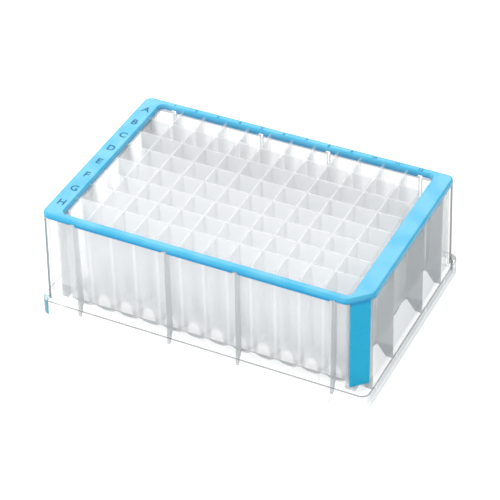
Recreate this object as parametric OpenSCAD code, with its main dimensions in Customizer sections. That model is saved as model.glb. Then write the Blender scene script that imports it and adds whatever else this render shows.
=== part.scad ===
// Deep-well plate with 96 square wells, a clear outer wall and a coloured border.
// Millimetres, +Z up. The origin is the centre of the footprint, on the surface it stands on.
// Rows run along Y (row A at +Y) and columns along X (column 1 at -X).

/* [Footprint] */
// Length of the skirt, along X
plate_l = 127.76; // [124:0.01:160]
// Width of the skirt, along Y
plate_w = 85.48; // [82:0.01:110]
// Height from the base to the top of the border
plate_h = 44; // [24:0.1:60]
// Height of the standing skirt
skirt_h = 6.3; // [4:0.1:10]
// Wall of the skirt, and thickness of the ledge above it
skirt_t = 1.2; // [0.8:0.1:2]
// Corner radius of the skirt
skirt_r = 3.18; // [2:0.01:6]

/* [Wells] */
// Number of columns
columns = 12; // [4:1:12]
// Number of rows
rows = 8; // [3:1:8]
// Centre distance of neighbouring wells
pitch = 9; // [8.8:0.05:9.1]
// Inside width of a well at its mouth
well_mouth = 8.1; // [7.4:0.05:8.3]
// Inside width of a well where its square part ends
well_base = 7.2; // [6:0.05:7.3]
// Wall outside the end wells, at the mouth
end_wall = 1.35; // [0.4:0.05:1.5]
// Drop from the top of the border to the well mouths
mouth_drop = 0.2; // [0:0.05:0.6]
// Outside corner radius of the whole block of wells
block_r = 1.9; // [0.5:0.1:2.4]
// Radius left in the upright corners of a well, as a share of its half width
corner_reach = 1.33; // [1.25:0.01:1.4]
// Height of a well's lowest point above the base
tip_z = 0.5; // [0.3:0.1:3]
// Outside radius of the rounded tip
tip_r = 2.7; // [1.5:0.1:3.5]
// Thickness of the well floor
floor_t = 0.9; // [0.6:0.05:1.3]

/* [Outer wall] */
// Wall thickness
wall_t = 1.2; // [1:0.05:1.6]
// Thickness of the deck that carries the border
deck_t = 1.2; // [0.8:0.1:2]
// Width of the ledge at the foot of the short walls
ledge_x = 1.38; // [1:0.01:3]
// Width of the ledge at the foot of the long walls
ledge_y = 1.74; // [1:0.01:3]
// Inward lean of each short wall from ledge to deck
lean_x = 0.5; // [0.1:0.05:1]
// Inward lean of each long wall from ledge to deck
lean_y = 1.1; // [0.1:0.05:1.4]
// Radius of the wall's three rounded corners
wall_r = 3; // [2:0.1:5]
// Leg of the cut corner, at the last column and the last row
cut_leg = 7.2; // [6:0.1:9]
// Radius at each end of the cut corner
cut_r = 3.6; // [2:0.1:4]

/* [Webs] */
// Thickness of a web
web_t = 1; // [0.6:0.1:1.6]
// Height at which a web's foot starts beside the wells
web_foot_z = 5; // [4.4:0.1:7]
// Height of a web's lower edge above the base
web_tip_z = 0.7; // [0.5:0.1:3]
// Width of the tab that each web of the long sides raises into the border
tab_w = 2; // [1.8:0.1:4]
// Height of that tab
tab_h = 0.4; // [0.2:0.05:0.5]

/* [Border] */
// Thickness of the border
border_t = 2; // [1.5:0.1:3]
// Round on the border's upper outer edge
outer_round = 0.8; // [0.2:0.1:1.2]
// Round on the border's upper edge along the wells
inner_round = 0.7; // [0.1:0.1:1]
// Extra depth of the long sides, from the first web to the last
side_drop = 0.5; // [0.2:0.05:0.6]
// Thickness of the corner panel
panel_t = 0.7; // [0.4:0.05:0.8]
// Width of the corner panel
panel_w = 7.2; // [5:0.1:8]

/* [Hidden] */
arc_steps = 8;
eps = 0.01;
// Heights
deck_top = plate_h - border_t;
deck_under = deck_top - deck_t;
mouth_z = plate_h - mouth_drop;
ledge_under = skirt_h - skirt_t;
// The block of wells
block_l = (columns - 1) * pitch + well_mouth + 2 * end_wall;
block_w = (rows - 1) * pitch + well_mouth + 2 * end_wall;
cell = well_mouth + 2 * end_wall;
// Outside of a well's foot: a cone of 45 degrees that ends in a ball of tip_r
cone_apex_z = tip_z + tip_r - tip_r * sqrt(2);
cone_reach = cell / 2 * sqrt(2) + 0.2;
block_under = cone_apex_z + pitch / 2 * sqrt(2);
// Inside of a well's foot: the same cone and ball, one floor thickness in
well_ball_r = tip_r - floor_t;
well_cone_z = cone_apex_z + floor_t * sqrt(2);
square_end_z = well_cone_z + well_base / 2;
mouth_reach = well_mouth / 2 * corner_reach;
base_reach = well_base / 2 * corner_reach;
reach_slope = (mouth_reach - base_reach) / (mouth_z - square_end_z);
// Half sizes of the outer wall's face at the ledge and at the deck
foot_x = plate_l / 2 - ledge_x;
foot_y = plate_w / 2 - ledge_y;
head_x = foot_x - lean_x;
head_y = foot_y - lean_y;
// Columns and rows that carry webs
web_columns = [0, floor(columns / 3), columns - 1 - floor(columns / 3), columns - 1];
web_rows = [0, floor(rows / 3), rows - 1 - floor(rows / 3), rows - 1];

function col_x(i) = (i - (columns - 1) / 2) * pitch;
function row_y(j) = ((rows - 1) / 2 - j) * pitch;

// Half sizes of the leaning wall's outer face at a height
function wall_hx(z) = foot_x - lean_x * (z - skirt_h) / (deck_top - skirt_h);
function wall_hy(z) = foot_y - lean_y * (z - skirt_h) / (deck_top - skirt_h);

// Points of one rounded corner: centre, radius, first angle and turn
function arc(x, y, r, from, turn) =
    [for (k = [0:arc_steps]) let (a = from + turn * k / arc_steps) [x + r * cos(a), y + r * sin(a)]];

// Outline with three round corners and one cut corner at +X, -Y
function cut_outline(hx, hy, r, leg, blend) = concat(
    arc(hx - r, hy - r, r, 0, 90),
    arc(-hx + r, hy - r, r, 90, 90),
    arc(-hx + r, -hy + r, r, 180, 90),
    arc(hx - leg - blend * tan(22.5), -hy + blend, blend, 270, 45),
    arc(hx - blend, -hy + leg + blend * tan(22.5), blend, 315, 45));

// Outline of the wall for half sizes hx and hy, set in evenly by inset
function wall_outline(hx, hy, inset) =
    cut_outline(hx - inset, hy - inset, wall_r - inset, cut_leg - inset * (2 - sqrt(2)), cut_r - inset);

// Thin slice of the outline, standing on height z
module outline_slice(hx, hy, inset, z) {
    translate([0, 0, z]) linear_extrude(eps) polygon(wall_outline(hx, hy, inset));
}

// A rectangle with true round corners
module rounded_rect(l, w, r) {
    square([l - 2 * r, w], center = true);
    square([l, w - 2 * r], center = true);
    for (x = [-1, 1], y = [-1, 1])
        translate([x * (l / 2 - r), y * (w / 2 - r)]) circle(r, $fn = 64);
}

// Runs a profile round a rounded rectangle; the profile's x counts outward from its edge
module rect_sweep(l, w, r) {
    for (side = [0, 180]) rotate(side) {
        translate([l / 2, 0, 0]) rotate([90, 0, 0]) linear_extrude(w - 2 * r, center = true) children();
        translate([0, w / 2, 0]) rotate([90, 0, 90]) linear_extrude(l - 2 * r, center = true) children();
        translate([l / 2 - r, w / 2 - r, 0]) rotate_extrude(angle = 90, $fn = 64) translate([r, 0]) children();
        translate([-l / 2 + r, w / 2 - r, 0]) rotate(90)
            rotate_extrude(angle = 90, $fn = 64) translate([r, 0]) children();
    }
}

// Everything inside the leaning wall between two heights, set in from its outer face
module wall_solid(inset, low, high) {
    hull() {
        outline_slice(wall_hx(low), wall_hy(low), inset, low);
        outline_slice(wall_hx(high), wall_hy(high), inset, high - eps);
    }
}

// Leaning slot for the corner panel: it reaches panel_t into the wall and stands proud outside
module panel_slot() {
    hull() for (z = [skirt_h, deck_top - eps])
        translate([wall_hx(z) - cut_leg / 2, -wall_hy(z) + cut_leg / 2, z]) rotate(-45)
            translate([-panel_t, -panel_w / 2, 0]) cube([panel_t + wall_t, panel_w, eps]);
}

// Strips across the plate, one over each web of the long sides
module tab_strips() {
    for (i = web_columns) translate([col_x(i) - tab_w / 2, -plate_w]) square([tab_w, 2 * plate_w]);
}

// Beds for the deeper parts of the border's long sides, from the first web to the last
module side_beds() {
    first = col_x(web_columns[0]);
    translate([0, 0, deck_top - side_drop]) linear_extrude(side_drop) difference() {
        translate([first, -plate_w]) square([-2 * first, 2 * plate_w]);
        square([plate_l, block_w], center = true);
        tab_strips();
    }
}

// Tabs of the webs, standing on the deck flush with the wall's outer face
module tabs() {
    translate([0, 0, deck_top]) linear_extrude(tab_h) intersection() {
        difference() {
            polygon(wall_outline(head_x, head_y, 0));
            square([plate_l, block_w], center = true);
        }
        tab_strips();
    }
}

// Skirt, ledge, leaning wall and deck, open underneath
module shell() {
    difference() {
        union() {
            linear_extrude(skirt_h) rounded_rect(plate_l, plate_w, skirt_r);
            wall_solid(0, skirt_h - eps, deck_top);
        }
        translate([0, 0, -1]) linear_extrude(ledge_under + 1)
            rounded_rect(plate_l - 2 * skirt_t, plate_w - 2 * skirt_t, skirt_r - skirt_t);
        wall_solid(wall_t, ledge_under - eps, deck_under);
        panel_slot();
        side_beds();
    }
    tabs();
}

// Space above a cone of 45 degrees that ends in a ball, as a flat profile: the foot of a well
module foot_profile(ball_r, apex_z, reach) {
    touch_r = ball_r * sqrt(0.5);
    touch_z = apex_z + touch_r;
    polygon([[0, touch_z], [touch_r, touch_z], [reach, apex_z + reach], [0, apex_z + reach]]);
    intersection() {
        translate([0, touch_z + touch_r]) circle(ball_r, $fn = 64);
        square([touch_r, touch_z]);
    }
}

// Outside of one well's foot, kept to the well's own cell of the grid
module well_foot(i, j) {
    left = i == 0 ? cell / 2 : pitch / 2;
    right = i == columns - 1 ? cell / 2 : pitch / 2;
    front = j == rows - 1 ? cell / 2 : pitch / 2;
    back = j == 0 ? cell / 2 : pitch / 2;
    translate([col_x(i), row_y(j), 0]) intersection() {
        translate([-left, -front, 0]) cube([left + right, front + back, block_under]);
        rotate_extrude($fn = 64) foot_profile(tip_r, cone_apex_z, cone_reach);
    }
}

// The wells as one solid block on their feet, before they are hollowed
module well_block() {
    translate([0, 0, block_under]) linear_extrude(mouth_z - block_under)
        rounded_rect(block_l, block_w, block_r);
    for (i = [0:columns - 1], j = [0:rows - 1]) well_foot(i, j);
}

// Side view of a well's tapering square part, run through along Y
module taper() {
    high = mouth_z + 1;
    slope = (well_mouth - well_base) / 2 / (mouth_z - square_end_z);
    low_half = well_base / 2 - slope * (square_end_z - well_cone_z);
    high_half = well_mouth / 2 + slope;
    rotate([90, 0, 0]) linear_extrude(2 * pitch, center = true)
        polygon([[-low_half, well_cone_z], [low_half, well_cone_z], [high_half, high], [-high_half, high]]);
}

// Inside of one well: square and tapering, with eased corners, on a coned and rounded floor
module well_cavity() {
    high = mouth_z + 1;
    intersection() {
        taper();
        rotate(90) taper();
        rotate_extrude($fn = 64) {
            foot_profile(well_ball_r, well_cone_z, base_reach);
            polygon([[0, well_cone_z + base_reach], [base_reach, well_cone_z + base_reach],
                [mouth_reach + reach_slope, high], [0, high]]);
        }
    }
}

// One web, drawn outward from the block's face at 0 for the half sizes of one direction.
// Its foot slopes down from the wells and runs on under the ledge to the skirt.
module web(block, head, foot, skirt) {
    to_skirt = skirt - block;
    rotate([90, 0, 0]) linear_extrude(web_t, center = true) polygon([
        [-end_wall / 2, deck_under + deck_t / 2], [-end_wall / 2, web_foot_z],
        [to_skirt * 0.1, web_foot_z], [to_skirt * 0.47, web_tip_z],
        [to_skirt, web_tip_z], [to_skirt, skirt_h - skirt_t / 2],
        [foot - wall_t / 2 - block, skirt_h - skirt_t / 2],
        [head - wall_t / 2 - block, deck_under + deck_t / 2]]);
}

// All webs, between the block and the four walls
module webs() {
    for (side = [0, 180]) rotate(side) {
        for (j = web_rows) translate([block_l / 2, row_y(j), 0])
            web(block_l / 2, head_x, foot_x, (plate_l - skirt_t) / 2);
        for (i = web_columns) translate([col_x(i), block_w / 2, 0]) rotate(90)
            web(block_w / 2, head_y, foot_y, (plate_w - skirt_t) / 2);
    }
}

// The clear moulding: outer wall, webs and wells in one piece
module plate_body() {
    color("gainsboro", 0.5) difference() {
        union() {
            shell();
            well_block();
            webs();
        }
        for (i = [0:columns - 1], j = [0:rows - 1]) translate([col_x(i), row_y(j), 0]) well_cavity();
    }
}

// Frame of the border with its upper outer edge rounded, before its opening is cut
module border_blank() {
    hull() {
        outline_slice(head_x, head_y, 0, deck_top);
        for (a = [0:22.5:90])
            outline_slice(head_x, head_y, outer_round * (1 - cos(a)), plate_h - outer_round * (1 - sin(a)) - eps);
    }
}

// The border's opening, which fits the block of wells and is rounded at its upper edge
module opening() {
    translate([0, 0, deck_top - 1]) linear_extrude(border_t + 2) rounded_rect(block_l, block_w, block_r);
    rect_sweep(block_l, block_w, block_r) difference() {
        translate([-eps, plate_h - inner_round]) square([inner_round + eps, inner_round + 1]);
        translate([inner_round, plate_h - inner_round]) circle(inner_round, $fn = 64);
    }
}

// The coloured second shot: frame, deeper long sides and corner panel
module border() {
    color("deepskyblue") {
        difference() {
            border_blank();
            opening();
            tabs();
        }
        intersection() {
            wall_solid(0, skirt_h, deck_top);
            union() {
                panel_slot();
                side_beds();
            }
        }
    }
}

plate_body();
border();
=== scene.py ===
# %% [markdown]
# # A deep-well plate with a blue border
#
# The plate is moulded twice. The first shot is one clear piece: a skirt, a leaning outer wall and
# 96 square wells. The second shot is a blue border that grips the top and runs down one cut corner.
# Both pieces come from the CAD model and keep their shape. This script gives them their finishes,
# prints the row letters and column numbers, and sets the camera, the floor and the lights.

import math

import bmesh
import bpy
from mathutils import Matrix, Vector


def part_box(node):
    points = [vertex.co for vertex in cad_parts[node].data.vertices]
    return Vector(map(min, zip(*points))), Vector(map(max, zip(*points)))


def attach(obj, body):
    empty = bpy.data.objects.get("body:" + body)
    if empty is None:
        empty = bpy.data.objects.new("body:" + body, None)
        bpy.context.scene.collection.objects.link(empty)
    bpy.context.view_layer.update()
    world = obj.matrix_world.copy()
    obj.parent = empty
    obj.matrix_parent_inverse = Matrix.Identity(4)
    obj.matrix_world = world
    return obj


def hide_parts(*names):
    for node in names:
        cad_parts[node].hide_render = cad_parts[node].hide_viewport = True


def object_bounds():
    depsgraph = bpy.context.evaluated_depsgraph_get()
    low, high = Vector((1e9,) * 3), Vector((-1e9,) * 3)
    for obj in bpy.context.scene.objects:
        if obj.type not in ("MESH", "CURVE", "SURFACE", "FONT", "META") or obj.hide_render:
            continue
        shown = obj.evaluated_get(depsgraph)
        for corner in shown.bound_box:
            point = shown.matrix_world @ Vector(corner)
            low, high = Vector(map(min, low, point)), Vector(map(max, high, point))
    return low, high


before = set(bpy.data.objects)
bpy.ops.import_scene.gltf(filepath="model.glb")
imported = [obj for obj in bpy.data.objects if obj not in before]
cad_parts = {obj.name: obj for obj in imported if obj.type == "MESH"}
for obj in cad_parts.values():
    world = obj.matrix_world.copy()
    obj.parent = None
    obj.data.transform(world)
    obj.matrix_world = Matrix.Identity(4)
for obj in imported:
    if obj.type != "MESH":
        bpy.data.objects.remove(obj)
scene = bpy.context.scene
MM = 0.001

cad_low, cad_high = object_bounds()
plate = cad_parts["plate_body"]
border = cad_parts["border"]
print("CAD box in mm:", [round((b - a) / MM, 2) for a, b in zip(cad_low, cad_high)])

# %% [markdown]
# ## Where the details sit
#
# The outline, the top and the ledge are read from the CAD boxes, so that finishes and print follow
# the model. The wells stand on a 9 mm grid round the plate's centre, with row A at the back and
# column 1 at the left. The block of wells ends a little way outside the last grid lines.

# %% Measure the plate
PITCH = 9 * MM
COLUMNS = 12
ROWS = 8
border_low, border_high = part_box("border")
top_z = border_high.z
skirt_z = border_low.z
BLOCK_RIM = 0.9 * MM
block_x, block_y = COLUMNS / 2 * PITCH + BLOCK_RIM, ROWS / 2 * PITCH + BLOCK_RIM
columns_x = [(i - (COLUMNS - 1) / 2) * PITCH for i in range(COLUMNS)]
rows_y = [((ROWS - 1) / 2 - j) * PITCH for j in range(ROWS)]
print("top of the border in mm:", round(top_z / MM, 2), "ledge:", round(skirt_z / MM, 2))

# %% [markdown]
# ## The camera
#
# A small part is viewed from some distance with a long lens, so that its parallel edges stay
# nearly parallel. The camera is placed by its direction and distance from a target on the plate's
# axis, which is easier to think about than three coordinates and three turns.

# %% Set the camera
AZIMUTH = math.radians(26.683)
ELEVATION = math.radians(37.984)
ROLL = math.radians(-1.372)
DISTANCE = 0.7371
TARGET = Vector((0, 0, 0.022))
FOCAL_LENGTH, SENSOR = 147.95, 36
SHIFT = -0.0018, -0.0140

back = Vector((
    math.sin(AZIMUTH) * math.cos(ELEVATION),
    -math.cos(AZIMUTH) * math.cos(ELEVATION),
    math.sin(ELEVATION),
))
level = Vector((0, 0, 1)).cross(back).normalized()
upright = back.cross(level)
right = math.cos(ROLL) * level + math.sin(ROLL) * upright
up = math.cos(ROLL) * upright - math.sin(ROLL) * level

lens = bpy.data.cameras.new("camera")
lens.lens = FOCAL_LENGTH
lens.sensor_width = SENSOR
lens.shift_x, lens.shift_y = SHIFT
lens.clip_start = 0.01
lens.clip_end = 50
camera = bpy.data.objects.new("camera", lens)
pose = Matrix((right, up, back)).transposed().to_4x4()
pose.translation = TARGET + back * DISTANCE
camera.matrix_world = pose
scene.collection.objects.link(camera)
scene.camera = camera
scene.view_settings.view_transform = "Standard"
print("camera at", [round(v, 3) for v in camera.matrix_world.translation])

# %% [markdown]
# ## Small helpers for node trees
#
# A material is a network of nodes. These helpers keep the lines that build one short: they start a
# material, feed an input, do a sum, turn one range of values into another and mix two colours. The
# last two give the place of a surface point and tell a look at a surface from the light on it.

# %% Helpers for nodes


def new_material(name):
    """A new material and the Principled shader in it."""
    material = bpy.data.materials.new(name)
    material.use_nodes = True
    return material, material.node_tree, material.node_tree.nodes["Principled BSDF"]


def feed(tree, source, target):
    """Puts a number, a colour or another node's output into an input."""
    if isinstance(source, bpy.types.NodeSocket):
        tree.links.new(source, target)
    else:
        target.default_value = source


def maths(tree, operation, *values):
    """The result of a sum on one, two or three values."""
    node = tree.nodes.new("ShaderNodeMath")
    node.operation = operation
    for value, target in zip(values, node.inputs):
        feed(tree, value, target)
    return node.outputs[0]


def ramp(tree, value, start, end, low=0.0, high=1.0):
    """Turns start..end smoothly into low..high and holds it there outside."""
    node = tree.nodes.new("ShaderNodeMapRange")
    node.interpolation_type = "SMOOTHSTEP"
    feed(tree, value, node.inputs["Value"])
    for name, number in (("From Min", start), ("From Max", end), ("To Min", low), ("To Max", high)):
        feed(tree, number, node.inputs[name])
    return node.outputs["Result"]


def blend(tree, share, first, second, kind="MIX"):
    """The first colour or value where share is 0, and the second (or the product) where it is 1."""
    first, second = [(v, v, v, 1) if isinstance(v, float) else v for v in (first, second)]
    node = tree.nodes.new("ShaderNodeMix")
    node.data_type = "RGBA"
    node.blend_type = kind
    sockets = {s.identifier: s for s in node.inputs}
    feed(tree, share, sockets["Factor_Float"])
    feed(tree, first, sockets["A_Color"])
    feed(tree, second, sockets["B_Color"])
    return next(s for s in node.outputs if s.identifier == "Result_Color")


def place(tree):
    """The x, y and z of a surface point in the model's own space, in metres."""
    node = tree.nodes.new("ShaderNodeTexCoord")
    split = tree.nodes.new("ShaderNodeSeparateXYZ")
    tree.links.new(node.outputs["Object"], split.inputs[0])
    return node.outputs["Object"], split.outputs


def seen(tree):
    """1 for rays from the camera, from gloss and through glass, and 0 for the light on things."""
    node = tree.nodes.new("ShaderNodeLightPath")
    either = maths(tree, "MAXIMUM", node.outputs["Is Camera Ray"], node.outputs["Is Glossy Ray"])
    return maths(tree, "MAXIMUM", either, node.outputs["Is Transmission Ray"])


# %% [markdown]
# ## The floor
#
# The plate stands on a pale sheet. The sheet takes the plate's shadow like any matt surface, and a
# little of its brightness is its own, so that it looks white round the plate. It lies a hair's
# breadth under the plate, so that the two never fight for the same place.

# %% Make the floor
FLOOR_SIZE = 6.0
FLOOR_GLOW = 0.27
FLOOR_GAP = 0.05 * MM

mesh = bpy.data.meshes.new("floor")
shape = bmesh.new()
bmesh.ops.create_grid(shape, x_segments=1, y_segments=1, size=FLOOR_SIZE / 2)
shape.to_mesh(mesh)
shape.free()
floor = bpy.data.objects.new("floor", mesh)
floor.location.z = -FLOOR_GAP
scene.collection.objects.link(floor)

sheet, tree, shader = new_material("floor_sheet")
shader.inputs["Base Color"].default_value = (0.9, 0.9, 0.9, 1)
shader.inputs["Roughness"].default_value = 0.7
shader.inputs["Emission Color"].default_value = (1, 1, 1, 1)
feed(tree, maths(tree, "MULTIPLY", seen(tree), FLOOR_GLOW), shader.inputs["Emission Strength"])
mesh.materials.append(sheet)
print("floor side in m:", FLOOR_SIZE)

# %% [markdown]
# ## The room and the lamps
#
# The room lights from all sides at a low level, and it shows as white in gloss and through the
# clear plastic. Three large square lamps add direction: the left one is the main light, the back
# one shines through the wells, and the front one lifts the near sides. Small lamps would give hard
# shadows and bright points in every wall.

# %% Light the room
ROOM_LIGHT = 0.58

room = bpy.data.worlds.new("room")
room.use_nodes = True
scene.world = room
tree = room.node_tree
sky = tree.nodes["Background"]
sky.inputs["Color"].default_value = (1, 1, 1, 1)
feed(tree, ramp(tree, seen(tree), 0, 1, ROOM_LIGHT, 1.0), sky.inputs["Strength"])


def softbox(name, place_at, size, watts):
    """A square soft lamp that faces the plate."""
    light = bpy.data.lights.new(name, "AREA")
    light.size = size
    light.energy = watts
    lamp = bpy.data.objects.new(name, light)
    lamp.location = place_at
    lamp.rotation_mode = "QUATERNION"
    lamp.rotation_quaternion = (TARGET - Vector(place_at)).to_track_quat("-Z", "Y")
    scene.collection.objects.link(lamp)


softbox("softbox_left", (-0.75, -0.45, 0.95), size=0.8, watts=10)
softbox("softbox_back", (-0.46, 0.92, 0.82), size=0.7, watts=6.3)
softbox("softbox_front", (0.75, -0.95, 0.45), size=0.8, watts=2.6)

# %% [markdown]
# ## Moulded plastic up close
#
# No moulding is perfectly even. The melt leaves long soft waves, and handling leaves faint haze.
# Both plastics need this, so it is one node group with its own size and strength. It gives out a
# height for a Bump node and a value from 0 to 1 that changes the roughness.

# %% Build the moulded surface group
RELIEF_DEPTH = 0.1 * MM
HAZE_RANGE = 0.35, 0.65


def moulded_surface():
    """A node group with soft waves, fine grain and a haze value."""
    group = bpy.data.node_groups.new("moulded_surface", "ShaderNodeTree")
    face = group.interface
    face.new_socket("Vector", in_out="INPUT", socket_type="NodeSocketVector")
    for name, number in (("Wave size", 60.0), ("Grain size", 2500.0), ("Grain share", 0.15)):
        face.new_socket(name, in_out="INPUT", socket_type="NodeSocketFloat").default_value = number
    for name in ("Height", "Haze"):
        face.new_socket(name, in_out="OUTPUT", socket_type="NodeSocketFloat")
    source = group.nodes.new("NodeGroupInput")
    result = group.nodes.new("NodeGroupOutput")
    found = []
    for size, detail in (("Wave size", 1.0), ("Grain size", 3.0)):
        noise = group.nodes.new("ShaderNodeTexNoise")
        noise.inputs["Detail"].default_value = detail
        group.links.new(source.outputs["Vector"], noise.inputs["Vector"])
        group.links.new(source.outputs[size], noise.inputs["Scale"])
        found.append(noise.outputs["Fac"])
    fine = maths(group, "MULTIPLY", found[1], source.outputs["Grain share"])
    group.links.new(maths(group, "ADD", found[0], fine), result.inputs["Height"])
    group.links.new(ramp(group, found[0], *HAZE_RANGE), result.inputs["Haze"])
    return group


surface_group = moulded_surface()
print("moulded surface nodes:", len(surface_group.nodes))


def add_surface(tree, where, bump, **sizes):
    """Adds the group and a Bump node to a material, and gives the haze and the normal."""
    node = tree.nodes.new("ShaderNodeGroup")
    node.node_tree = surface_group
    tree.links.new(where, node.inputs["Vector"])
    for name, number in sizes.items():
        node.inputs[name.replace("_", " ")].default_value = number
    relief = tree.nodes.new("ShaderNodeBump")
    relief.inputs["Strength"].default_value = bump
    relief.inputs["Distance"].default_value = RELIEF_DEPTH
    tree.links.new(node.outputs["Height"], relief.inputs["Height"])
    return node.outputs["Haze"], relief.outputs["Normal"]


# %% [markdown]
# ## The clear plastic
#
# The whole clear shot is one plastic. A single wall lets almost all the light through and is seen
# by its edges, where the eye looks along the surface or where two faces meet. Behind it the wells
# add up, wall after wall, to a pale grey. The shader is therefore mostly open, and it closes where
# the surface is seen at a flat angle. It could be real glass, but some forty refracting walls in a
# row turn dark and noisy, and an open surface stays clean and travels better to other programs.
#
# Each zone of the moulding behaves a little differently. A zone is found by a mask: a value made
# from the place of a surface point, which is 1 inside the zone and 0 outside it. Masks could be
# painted on the mesh, but values worked out from sizes stay sharp and follow the model.

# %% Start the clear plastic
clear, tree, shader = new_material("clear_plastic")
where, (x, y, z) = place(tree)
across, along = maths(tree, "ABSOLUTE", x), maths(tree, "ABSOLUTE", y)
print("started:", clear.name)

# %% [markdown]
# The helpers below put their nodes into the clear material and keep the masks readable. A mask
# fades over a hair's breadth, SOFT, so that it has no jagged rim. A limit that lies exactly in a
# face is moved off it by NEAR, so that the face doesn't flicker between two zones.

# %% Helpers for masks
SOFT, NEAR = 0.08 * MM, 0.06 * MM


def minus(first, second):
    """The first value less the second."""
    return maths(tree, "SUBTRACT", first, second)


def larger(first, second):
    """The larger of two values, or 1 where one of two masks is 1."""
    return maths(tree, "MAXIMUM", first, second)


def both(*masks):
    """The product of all the values, which is 1 where all the masks are 1."""
    result = masks[0]
    for mask in masks[1:]:
        result = maths(tree, "MULTIPLY", result, mask)
    return result


def invert(mask):
    """1 where a mask is 0."""
    return minus(1, mask)


def above(value, limit):
    """1 where a value is above a limit, and 0 where it is below."""
    return ramp(tree, value, limit - SOFT / 2, limit + SOFT / 2)


def below(value, limit):
    """1 where a value is below a limit, and 0 where it is above."""
    return invert(above(value, limit))


def squares(first, second):
    """The sum of the squares of two values."""
    return maths(tree, "ADD", both(first, first), both(second, second))


def distance(first, second):
    """How far a point is from an axis, from its two distances along x and y."""
    return maths(tree, "SQRT", squares(first, second))


def outside(limit_x, limit_y):
    """0 inside a box that is centred on the plate, and 1 outside it."""
    return larger(above(across, limit_x), above(along, limit_y))


print("masks fade over", round(SOFT / MM, 2), "mm")

# %% [markdown]
# The block of wells is a plain box in plan. Its outermost walls are clearer than those between two
# wells, and the round feet below it catch more light. Its outside is seen as a face from without
# and is clear from within, so those two masks also ask for the front side of the surface.

# %% Find the block of wells
END_WALL, FOOT_TOP = 1.7 * MM, 5.6 * MM
outer_side = invert(tree.nodes.new("ShaderNodeNewGeometry").outputs["Backfacing"])
wells = invert(outside(block_x + NEAR, block_y + NEAR))
end_walls = outside(block_x - END_WALL, block_y - END_WALL)
feet = both(wells, below(z, FOOT_TOP))
long_face = both(wells, above(along, block_y - NEAR), outer_side)
short_face = both(wells, above(across, block_x - NEAR), outer_side)
print("block of wells in mm:", round(2 * block_x / MM, 1), "x", round(2 * block_y / MM, 1))

# %% [markdown]
# The outer wall leans so that the moulding leaves its tool: its half sizes shrink from the ledge up
# to the deck. How deep a point lies inside the wall's outer face is the base for the next masks.
# The webs are what stands between the wall and the block. A round corner of the wall is a lens. Its
# outer skin draws one dark line, and its hollow side, where it faces the eye, looks a little grey.
# The skirt has corners of its own, and the cut corner has none. The CAD boxes don't give the sizes
# of such details, so they are written out.

# %% Find the leaning wall, its corners and the webs
BORDER_T = 2 * MM
DECK_Z = top_z - BORDER_T
WALL_FOOT, LEAN = (62.5 * MM, 41.0 * MM), (0.5 * MM, 1.1 * MM)
CORNER_R, WALL_T = 3 * MM, 1.32 * MM
CORNER_X, CORNER_Y = CORNER_R + 1.2 * MM, CORNER_R + 1.8 * MM
SKIRT_CORNER = 60.7 * MM, 39.6 * MM

rise = maths(tree, "DIVIDE", minus(z, skirt_z), DECK_Z - skirt_z)
wall_x, wall_y = [minus(foot, both(rise, lean)) for foot, lean in zip(WALL_FOOT, LEAN)]
in_x, in_y = minus(wall_x, across), minus(wall_y, along)
in_corner = both(below(in_x, CORNER_X), below(in_y, CORNER_Y))
webs = both(above(in_x, WALL_T), above(in_y, WALL_T), invert(in_corner))
web_tips = both(webs, below(z, skirt_z))

from_axis = distance(larger(minus(CORNER_R, in_x), 0), larger(minus(CORNER_R, in_y), 0))
outer_skin = above(from_axis, CORNER_R - WALL_T / 2)
wall_corner = both(in_corner, above(z, skirt_z))
inner_corner = both(wall_corner, invert(both(outer_skin, outer_side)))
hollow_corner = both(wall_corner, invert(outer_skin), outer_side)

on_left = below(x, 0)
round_end = both(larger(on_left, above(y, 0)), below(z, skirt_z + SOFT))
skirt_corner = both(above(across, SKIRT_CORNER[0]), above(along, SKIRT_CORNER[1]), round_end)
corner = both(larger(both(wall_corner, outer_skin), skirt_corner), outer_side)
print("wall leans in by", [round(v / MM, 2) for v in LEAN], "mm")

# %% [markdown]
# A wall between two wells ends in a narrow rounded crest, which catches the light as a thin white
# line; here that line is a painted highlight. The walls stand on multiples of the pitch, so a
# ping-pong node gives the distance to the nearest one. The same distance draws upright pale lines
# where those walls meet the block's outside: painted light, for the light that the walls carry out
# to the face. Fine ridges could be modelled for this, but a mask costs no faces and can't flicker.

# %% Find the crest highlights and the painted seam light
CREST, SEAM_LIGHT_HALF_WIDTH = 0.06 * MM, 0.4 * MM
CREST_X, CREST_Y = 50 * MM, 32 * MM
CREST_DEPTH, STRIP = 0.26 * MM, 1.4 * MM


def off_wall(value):
    """Distance to the nearest wall between two wells."""
    steps = maths(tree, "DIVIDE", value, PITCH)
    return both(maths(tree, "PINGPONG", steps, 0.5), PITCH)


def line(off, width):
    """1 on a line of the given half width, fading out over as much again."""
    return ramp(tree, off, width, 2 * width, 1, 0)


off_x, off_y = off_wall(x), off_wall(y)
high = above(z, top_z - CREST_DEPTH)
between_columns = both(line(off_x, CREST), below(across, CREST_X))
between_rows = both(line(off_y, CREST), below(along, CREST_Y))
# Painted highlight: a thin pale line along each crest.
crest = both(high, larger(between_columns, between_rows))
tops = both(high, wells)
outer_strip = both(high, outside(block_x - STRIP, block_y - STRIP))
# Painted light: pale upright lines where the walls meet the block's outside.
seam_painted_light = both(long_face, line(off_x, SEAM_LIGHT_HALF_WIDTH))
print("half width of a crest line in mm:", round(CREST / MM, 2))

# %% [markdown]
# The round end of each well gathers light into a bright spot low on the block's long sides. The
# spot is an ellipse round the middle of each well. The skirt has two edges that bend the light away
# and so look dark: one round the ledge and one round the foot. Both are lines along the outline.

# %% Find the bright spots and the skirt's two edges
SPOT_Z, SPOT_WIDE, SPOT_HIGH = 7.2 * MM, 3.0 * MM, 5.4 * MM
SPOT_FADE = 0.3, 1.1
SKIRT_R = 3.18 * MM
LEDGE_LINE, FOOT_LINE = 0.2 * MM, 0.12 * MM

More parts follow.
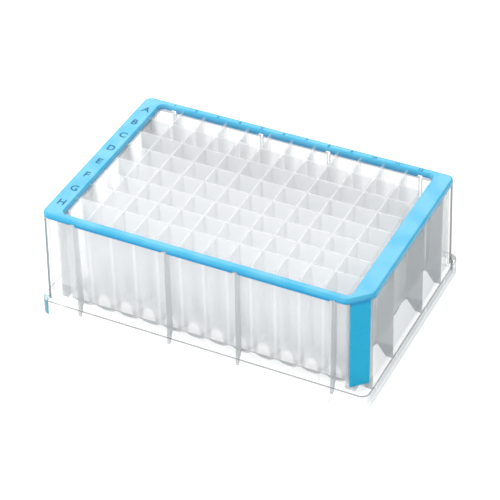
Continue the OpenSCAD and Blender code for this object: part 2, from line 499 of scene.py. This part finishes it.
spot_x = maths(tree, "DIVIDE", minus(PITCH / 2, off_x), SPOT_WIDE)
spot_z = maths(tree, "DIVIDE", minus(z, SPOT_Z), SPOT_HIGH)
spot = both(long_face, ramp(tree, squares(spot_x, spot_z), *SPOT_FADE, 1, 0))

past = [
    larger(minus(value, half - SKIRT_R), 0)
    for value, half in ((across, cad_high.x), (along, cad_high.y))]
from_outline = maths(tree, "ABSOLUTE", minus(SKIRT_R, distance(*past)))
from_ledge = maths(tree, "ABSOLUTE", minus(z, skirt_z))
ledge_line = both(line(from_outline, LEDGE_LINE), line(from_ledge, LEDGE_LINE))
foot_line = both(line(from_outline, FOOT_LINE), line(z, FOOT_LINE))
print("a spot is", round(2 * SPOT_WIDE / MM, 1), "x", round(2 * SPOT_HIGH / MM, 1), "mm at its rim")

# %% [markdown]
# The blue shot is bonded to the clear one. Where they touch there is no air between them and so no
# surface to see: these faces are left fully open, and the blue shows through them. They could be
# deleted, but the clear mesh would then no longer be closed. They lie round the block above the
# deck, on the deck, in the beds of the deeper long sides, and in the slot of the corner panel.

# %% Find the faces that touch the blue plastic
BED_DEPTH = 0.5 * MM
FIRST_WEB, TAB_Y = columns_x[-1], 39.82 * MM
off_block = outside(block_x - NEAR, block_y - NEAR)
not_tab = below(along, TAB_Y)
on_deck = both(above(z, DECK_Z - NEAR), off_block, not_tab)
in_bed = both(
    above(z, DECK_Z - BED_DEPTH - NEAR), above(along, block_y - NEAR),
    below(across, FIRST_WEB), not_tab)

# The slot leans with the walls. It is measured outward and sideways from the middle of the cut.
CUT_LEG, PANEL_T, PANEL_W = 7.2 * MM, 0.7 * MM, 7.2 * MM
ROOT_HALF = math.sqrt(0.5)
outward = both(minus(x, y), ROOT_HALF)
sideways = both(maths(tree, "ADD", x, y), ROOT_HALF)
cut_at = both(minus(maths(tree, "ADD", wall_x, wall_y), CUT_LEG), ROOT_HALF)
off_middle = maths(tree, "ABSOLUTE", minus(sideways, both(minus(wall_x, wall_y), ROOT_HALF)))
in_slot = both(
    above(minus(outward, cut_at), -PANEL_T - NEAR), below(off_middle, PANEL_W / 2 + NEAR),
    above(z, skirt_z + NEAR), below(z, DECK_Z + NEAR))
bonded = larger(larger(on_deck, in_bed), in_slot)
print("slot for the panel in mm:", round(PANEL_W / MM, 2), "wide,", round(PANEL_T / MM, 2), "deep")

# %% [markdown]
# Each zone now gets its own closing curve. Layer Weight gives 0 for a surface that faces the eye
# and 1 for one seen edge on. Corners close sooner than flat walls, so they add a lead to that
# value. A curve names where it starts, where it ends, and how closed the surface is at each. The
# smaller zones are then laid over the larger ones, each with its own share. Lamps pass more easily
# than sight does, so that the light reaches the wells at the back.

# %% Close the surface at flat angles
CORNER_LEAD, SKIRT_LEAD = 0.28, 0.1
WALL_CURVE, CORNER_CURVE = (0.68, 0.82, 0.03, 0.92), (0.67, 0.80, 0.03, 0.95)
FOOT_CURVE, LEDGE_CURVE = (0.55, 0.95, 0.30, 0.80), (0.3, 0.6, 0.75, 0.9)
WEB_ALPHA, WELL_ALPHA, END_ALPHA = (0.60, 0.70), (0.40, 0.62), (0.08, 0.32)
TURN_AWAY = 0.30, 1.0
LAMP_SHARE = 0.12

weight = tree.nodes.new("ShaderNodeLayerWeight")
weight.inputs["Blend"].default_value = 0.5
edge = weight.outputs["Facing"]
corner_edge = maths(
    tree, "MULTIPLY_ADD", skirt_corner, SKIRT_LEAD, maths(tree, "ADD", edge, CORNER_LEAD))
turned = ramp(tree, edge, *TURN_AWAY)

wall_alpha = blend(
    tree, corner, ramp(tree, edge, *WALL_CURVE), ramp(tree, corner_edge, *CORNER_CURVE))
web_alpha, well_alpha, end_alpha = [
    ramp(tree, turned, 0, 1, *pair) for pair in (WEB_ALPHA, WELL_ALPHA, END_ALPHA)]
shell_alpha = blend(tree, webs, wall_alpha, web_alpha)
block_alpha = blend(tree, end_walls, well_alpha, end_alpha)
alpha = blend(tree, wells, shell_alpha, block_alpha)
for mask, shut in (
        (feet, ramp(tree, edge, *FOOT_CURVE)), (long_face, 0.42), (short_face, 0.82), (tops, 0.12),
        (outer_strip, 0.03), (crest, 0.45), (seam_painted_light, 0.45), (spot, 0.7), (web_tips, 0.6),
        (ledge_line, ramp(tree, edge, *LEDGE_CURVE)), (foot_line, 0.35), (inner_corner, 0.02),
        (hollow_corner, 0.38), (bonded, 0.0)):
    alpha = blend(tree, mask, alpha, shut)

path = tree.nodes.new("ShaderNodeLightPath")
passed = ramp(tree, path.outputs["Is Shadow Ray"], 0, 1, 1, LAMP_SHARE)
feed(tree, both(alpha, passed), shader.inputs["Alpha"])
print("a wall is closed by", WALL_CURVE[2], "face on and by", WALL_CURVE[3], "edge on")

# %% [markdown]
# The colours work the same way. A surface turns greyer as it turns away, because more plastic lies
# in the line of sight. The rows at the back are painted darker: painted shade, which holds down the
# stronger light that reaches them. The corners at the left look teal, as they mirror the blue
# border's light, and those at the right nearly black. Real clear plastic has no colour of its own:
# these tones stand for what refraction would show.

# %% Choose the tones of the clear plastic
WHITE = (0.97, 0.975, 0.98, 1)
WALL_TONES = (0.80, 0.84, 0.85, 1), (0.06, 0.13, 0.16, 1)
CORNER_TONES = (0.02, 0.025, 0.025, 1), (0.05, 0.12, 0.14, 1)
HOLLOW_TONE = (0.36, 0.375, 0.37, 1)
SKIRT_TEAL = (0.02, 0.28, 0.36, 1)
WELL_TONES = (0.96, 0.965, 0.97, 1), (0.92, 0.93, 0.935, 1)
END_TONES = WHITE, (0.84, 0.855, 0.86, 1)
WEB_TONES = (0.60, 0.615, 0.62, 1), (0.54, 0.56, 0.57, 1)
# Painted shade: the tone that darkens the rows at the back.
BACK_ROWS_PAINTED_SHADE = (0.78, 0.785, 0.79, 1)
FOOT_TONES = WHITE, (0.42, 0.44, 0.45, 1)
LONG_FACE_TONE = (0.76, 0.78, 0.79, 1)
# Painted shade: the grey of the block's short face, the side that the main lamp doesn't reach. The
# haze varies it.
SHORT_FACE_PAINTED_SHADE_TONES = (0.59, 0.625, 0.62, 1), (0.66, 0.695, 0.69, 1)
# Painted highlight and painted light: the tones of the crest lines and the seam lines.
CREST_PAINTED_HIGHLIGHT_TONE, SEAM_PAINTED_LIGHT_TONE = (0.78, 0.79, 0.795, 1), (0.92, 0.93, 0.935, 1)
WEB_TIP_TONE = (0.40, 0.42, 0.43, 1)
LEDGE_LINE_TONE, FOOT_LINE_TONE = (0.10, 0.115, 0.12, 1), (0.42, 0.45, 0.47, 1)
WALL_DARKENS, CORNER_DARKENS, FOOT_DARKENS = (0.50, 0.80), (0.62, 0.74), (0.60, 0.92)
BACK_ROW_Y = 32 * MM
print("tones for the darkest corner:", CORNER_TONES[0][:3])

# %% [markdown]
# Every tone is laid over the one before it by its zone's mask, from the large zones to the small
# ones. The soft waves of the moulding change the tone of the short faces and the roughness.

# %% Colour the clear plastic
CLEAR_ROUGHNESS = 0.12, 0.2
haze, normal = add_surface(tree, where, bump=0.15, Wave_size=90.0)
corner_tone = blend(tree, on_left, *CORNER_TONES)
corner_tone = blend(tree, both(skirt_corner, on_left), corner_tone, SKIRT_TEAL)
side_tone = blend(tree, ramp(tree, edge, *WALL_DARKENS), *WALL_TONES)
wall_tone = blend(
    tree, both(corner, ramp(tree, corner_edge, *CORNER_DARKENS)), side_tone, corner_tone)
# Painted shade: darker towards the back rows, multiplied into the wells and the webs.
back_rows_painted_shade = blend(tree, ramp(tree, y, 0, BACK_ROW_Y), WHITE, BACK_ROWS_PAINTED_SHADE)
well_tone = blend(
    tree, end_walls, blend(tree, turned, *WELL_TONES), blend(tree, turned, *END_TONES))
well_tone, web_tone = [
    blend(tree, 1.0, toned, back_rows_painted_shade, "MULTIPLY")
    for toned in (well_tone, blend(tree, turned, *WEB_TONES))]
tone = blend(tree, wells, blend(tree, webs, wall_tone, web_tone), well_tone)
for mask, colour in (
        (feet, blend(tree, ramp(tree, edge, *FOOT_DARKENS), *FOOT_TONES)),
        (long_face, LONG_FACE_TONE), (spot, WHITE),
        # Painted shade: the short face's grey.
        (short_face, blend(tree, haze, *SHORT_FACE_PAINTED_SHADE_TONES)), (outer_strip, WHITE),
        (crest, CREST_PAINTED_HIGHLIGHT_TONE), (seam_painted_light, SEAM_PAINTED_LIGHT_TONE), (web_tips, WEB_TIP_TONE),
        (hollow_corner, HOLLOW_TONE), (ledge_line, LEDGE_LINE_TONE), (foot_line, FOOT_LINE_TONE)):
    tone = blend(tree, mask, tone, colour)
feed(tree, tone, shader.inputs["Base Color"])
feed(tree, ramp(tree, haze, 0, 1, *CLEAR_ROUGHNESS), shader.inputs["Roughness"])
feed(tree, normal, shader.inputs["Normal"])
shader.inputs["IOR"].default_value = 1.49
plate.material_slots[0].material = clear
print("clear plastic nodes:", len(tree.nodes))

# %% [markdown]
# ## The blue border
#
# The second shot is moulded over the first and grips it. Its edges are not knife sharp: the mould
# rounds each one a little, and that round catches the light as a thin line. The CAD keeps exact
# edges, so the border is shown by a copy of it with a small bevel. A bevel modifier would do the
# same, but bmesh takes only the edges that are sharp. A hair's breadth is taken off the copy all
# over, so that its faces don't lie exactly in those of the clear shot and shade each other.

# %% Make the border with softened edges
EDGE_ROUND = 0.12 * MM
HAIR = 0.02 * MM
SHARP = math.radians(30)

shape = bmesh.new()
shape.from_mesh(border.data)
bmesh.ops.remove_doubles(shape, verts=shape.verts[:], dist=0.001 * MM)
bmesh.ops.dissolve_limit(
    shape, angle_limit=math.radians(0.5), verts=shape.verts[:], edges=shape.edges[:])
sharp = [e for e in shape.edges if e.is_manifold and e.calc_face_angle() > SHARP]
bmesh.ops.bevel(
    shape, geom=sharp, offset=EDGE_ROUND, affect="EDGES", segments=2, profile=0.5, material=-1,
    clamp_overlap=True)
shape.normal_update()
for vert in shape.verts:
    vert.co -= vert.normal * HAIR
mesh = bpy.data.meshes.new("soft_border")
shape.to_mesh(mesh)
shape.free()
soft_border = bpy.data.objects.new("soft_border", mesh)
scene.collection.objects.link(soft_border)
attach(soft_border, "root")
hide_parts("border")
print("edges softened:", len(sharp), "faces:", len(mesh.polygons))

# %% [markdown]
# The plastic is an opaque, slightly glossy blue. It is brightest on its flat top, which mirrors the
# ceiling: besides its real gloss, the top is painted a little lighter, a painted reflection. Its
# colour is strongest on the upright faces, and the lower lip and the corner panel are painted
# darker, as painted shade. One plain colour would look right from one side only. The height of a
# point therefore blends the tone of the top into that of the lip below it, and then into that of
# the corner panel.

# %% Make the blue plastic
blue, tree, shader = new_material("blue_plastic")
where, (x, y, z) = place(tree)
haze, normal = add_surface(tree, where, bump=0.2, Wave_size=120.0, Grain_share=0.3)
BLUE_ROUGHNESS = 0.22, 0.3
# Painted light: the top's tone is partly a painted reflection of the ceiling, and the lip's lower
# part and the corner panel are painted shade.
BLUE_PANEL_PAINTED_SHADE = (0.003, 0.42, 0.68, 1)
BLUE_LOW_PAINTED_SHADE = (0.003, 0.28, 0.56, 1)
BLUE_TOP_PAINTED_REFLECTION = (0.09, 0.49, 0.74, 1), (0.05, 0.45, 0.72, 1)
LIP, PANEL_TOP = (0.5 * MM, 2.2 * MM), (2.6 * MM, 3.4 * MM)
lower = ramp(tree, z, top_z - LIP[0], top_z - LIP[1])
panel = ramp(tree, z, top_z - PANEL_TOP[0], top_z - PANEL_TOP[1])
colour = blend(tree, lower, blend(tree, haze, *BLUE_TOP_PAINTED_REFLECTION), BLUE_LOW_PAINTED_SHADE)
feed(tree, blend(tree, panel, colour, BLUE_PANEL_PAINTED_SHADE), shader.inputs["Base Color"])
feed(tree, ramp(tree, haze, 0, 1, *BLUE_ROUGHNESS), shader.inputs["Roughness"])
feed(tree, normal, shader.inputs["Normal"])
shader.inputs["Specular IOR Level"].default_value = 0.25
mesh.materials.append(blue)
print("blue plastic nodes:", len(tree.nodes))

# %% [markdown]
# ## Row letters and column numbers
#
# The rows are lettered A to H on the left side of the border, and the columns are numbered 1 to 12
# along the back. They are pad printed: a thin film of dark, nearly matt ink. An image of the text
# would do, but real letter shapes stay sharp at any distance. The ink comes first.

# %% Make the ink
ink, tree, shader = new_material("print_ink")
where, _ = place(tree)
haze, normal = add_surface(tree, where, bump=0.2, Wave_size=900.0)
INK_ROUGHNESS = 0.5, 0.65
INK_TONES = (0.012, 0.13, 0.27, 1), (0.02, 0.19, 0.36, 1)
feed(tree, blend(tree, haze, *INK_TONES), shader.inputs["Base Color"])
feed(tree, ramp(tree, haze, 0, 1, *INK_ROUGHNESS), shader.inputs["Roughness"])
feed(tree, normal, shader.inputs["Normal"])
shader.inputs["Specular IOR Level"].default_value = 0.15
print("ink nodes:", len(tree.nodes))

# %% [markdown]
# Each label is a text object with almost no thickness. It is made a mesh first and then moved to
# its place, so that it is centred on its row or column whatever the width of its letters.

# %% Print the labels
INK_HEIGHT = 0.01 * MM
CAP_SHARE = 0.7
INK_SPREAD = 0.03


def label(text, cap_height, x, y):
    """One printed label, centred on x and y, with its top just above the border."""
    curve = bpy.data.curves.new("label_" + text, "FONT")
    curve.body = text
    curve.size = cap_height / CAP_SHARE
    curve.extrude = INK_HEIGHT
    curve.offset = INK_SPREAD * cap_height
    curve.resolution_u = 3
    maker = bpy.data.objects.new("maker", curve)
    made = bpy.data.meshes.new_from_object(maker)
    made.name = "label_" + text
    bpy.data.objects.remove(maker)
    points = [v.co for v in made.vertices]
    middle = [(min(p[k] for p in points) + max(p[k] for p in points)) / 2 for k in (0, 1)]
    made.transform(Matrix.Translation((x - middle[0], y - middle[1], top_z - INK_HEIGHT)))
    made.materials.clear()
    made.materials.append(ink)
    piece = bpy.data.objects.new("label_" + text, made)
    scene.collection.objects.link(piece)
    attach(piece, "root")
    return piece


LETTER_CAP, NUMBER_CAP = 3.0 * MM, 1.4 * MM
LETTERS_X = -58.1 * MM
NUMBERS_Y = 38.15 * MM
labels = [label(chr(ord("A") + j), LETTER_CAP, LETTERS_X, y) for j, y in enumerate(rows_y)]
labels += [label(str(i + 1), NUMBER_CAP, x, NUMBERS_Y) for i, x in enumerate(columns_x)]
print("labels:", len(labels), "faces:", sum(len(o.data.polygons) for o in labels))

# %% [markdown]
# ## Let light through the layers
#
# A ray that crosses eight rows of wells meets some forty surfaces. Cycles stops after eight open
# surfaces unless it is told to go on, and would show the rest as black. More bounces cost time only
# where there are more surfaces.

# %% Set how many open surfaces a ray may cross
scene.cycles.transparent_max_bounces = 48
scene.cycles.max_bounces = 16
print("open surfaces a ray may cross:", scene.cycles.transparent_max_bounces)
